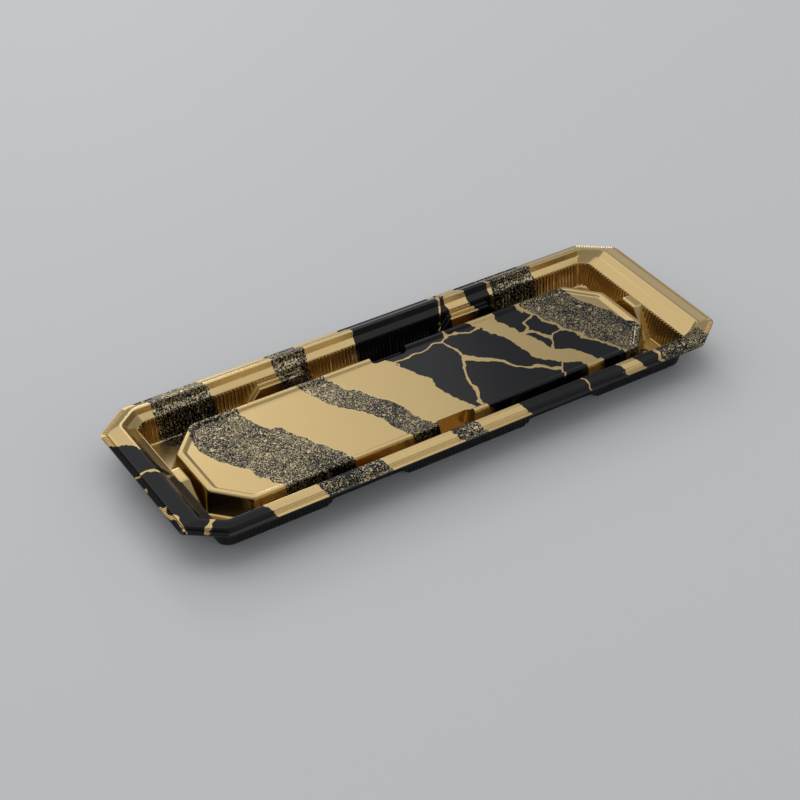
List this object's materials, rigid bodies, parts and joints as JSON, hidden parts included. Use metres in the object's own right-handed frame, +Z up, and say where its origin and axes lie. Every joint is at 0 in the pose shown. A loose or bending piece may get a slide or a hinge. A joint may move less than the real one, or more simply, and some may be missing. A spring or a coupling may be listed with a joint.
{
  "type": "sushi tray",
  "caption": "Long one-row sushi tray with cut corners, a rolled rim, fluted walls, a drain gutter and a raised platform with finger notches, formed from printed plastic sheet.",
  "frame": {"origin": "on the table, under the middle of the tray", "axes": "+X along the tray, +Y across it, +Z up"},
  "size_m": [0.265, 0.0928, 0.0181],
  "materials": {
    "black_sheet": "glossy black",
    "gold_film": "satin gold and black print"
  },
  "bodies": {
    "root": {"base_sheet": "black_sheet", "printed_film": "gold_film"}
  },
  "joints": []
}
